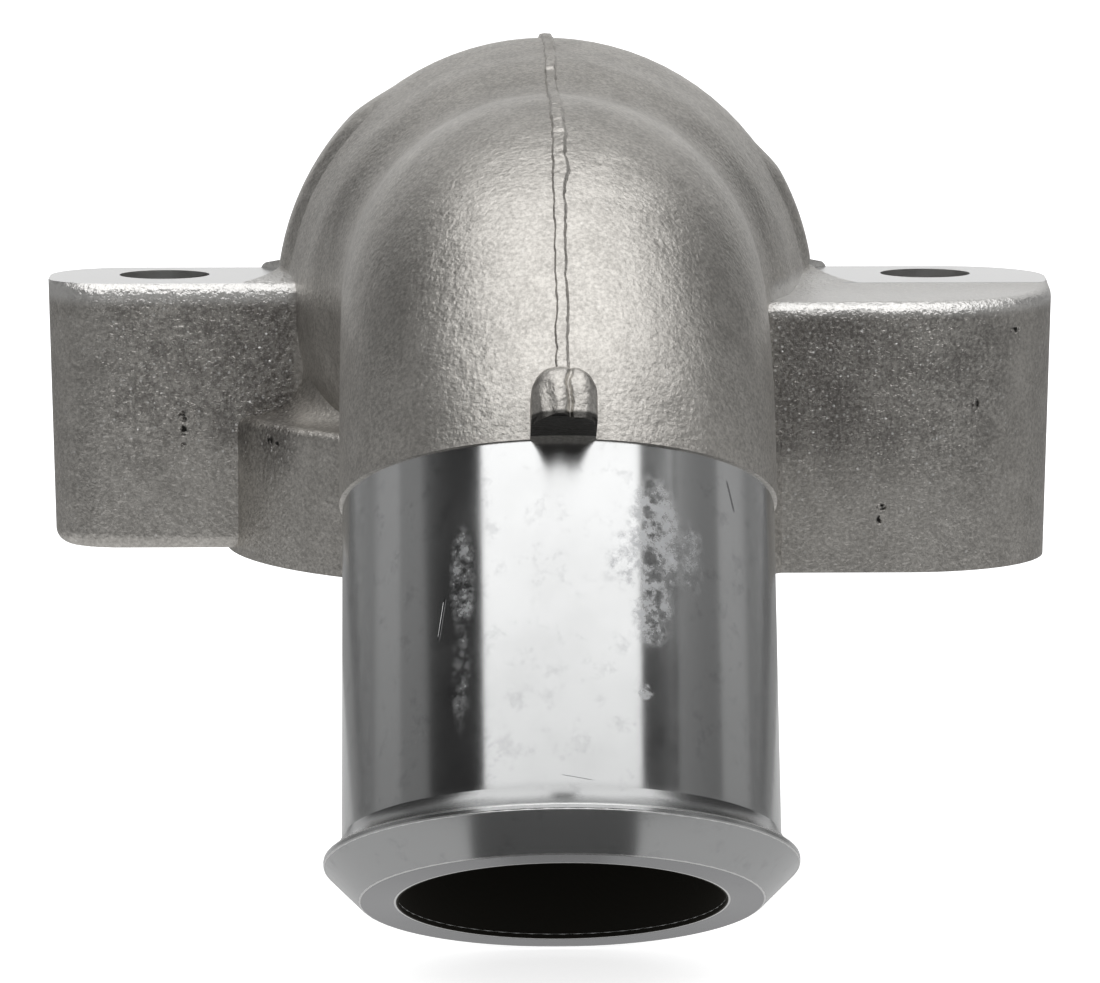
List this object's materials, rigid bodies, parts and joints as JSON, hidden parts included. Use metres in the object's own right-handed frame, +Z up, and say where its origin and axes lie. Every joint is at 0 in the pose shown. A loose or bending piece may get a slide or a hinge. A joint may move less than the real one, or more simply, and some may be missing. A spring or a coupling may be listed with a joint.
{
  "type": "coolant water outlet",
  "caption": "Cast aluminium coolant outlet: a bulb over a round port, bolt ears on both sides, and an elbow that turns down into a turned hose spigot with a bead.",
  "frame": {"origin": "centre of the port on the mating face, midway between the two bolt holes", "axes": "+Z up along the bolts and away from the engine, +X towards the ear that is deeper in front, -Y towards the hose spigot, which leans 25 degrees forward of straight down"},
  "size_m": [0.0959, 0.1157, 0.078],
  "materials": {
    "cast_aluminium": "shot-blasted casting, with machined spot faces, mating face and polished turned spigot"
  },
  "bodies": {
    "root": {"outlet_casting": "cast_aluminium"}
  },
  "joints": []
}
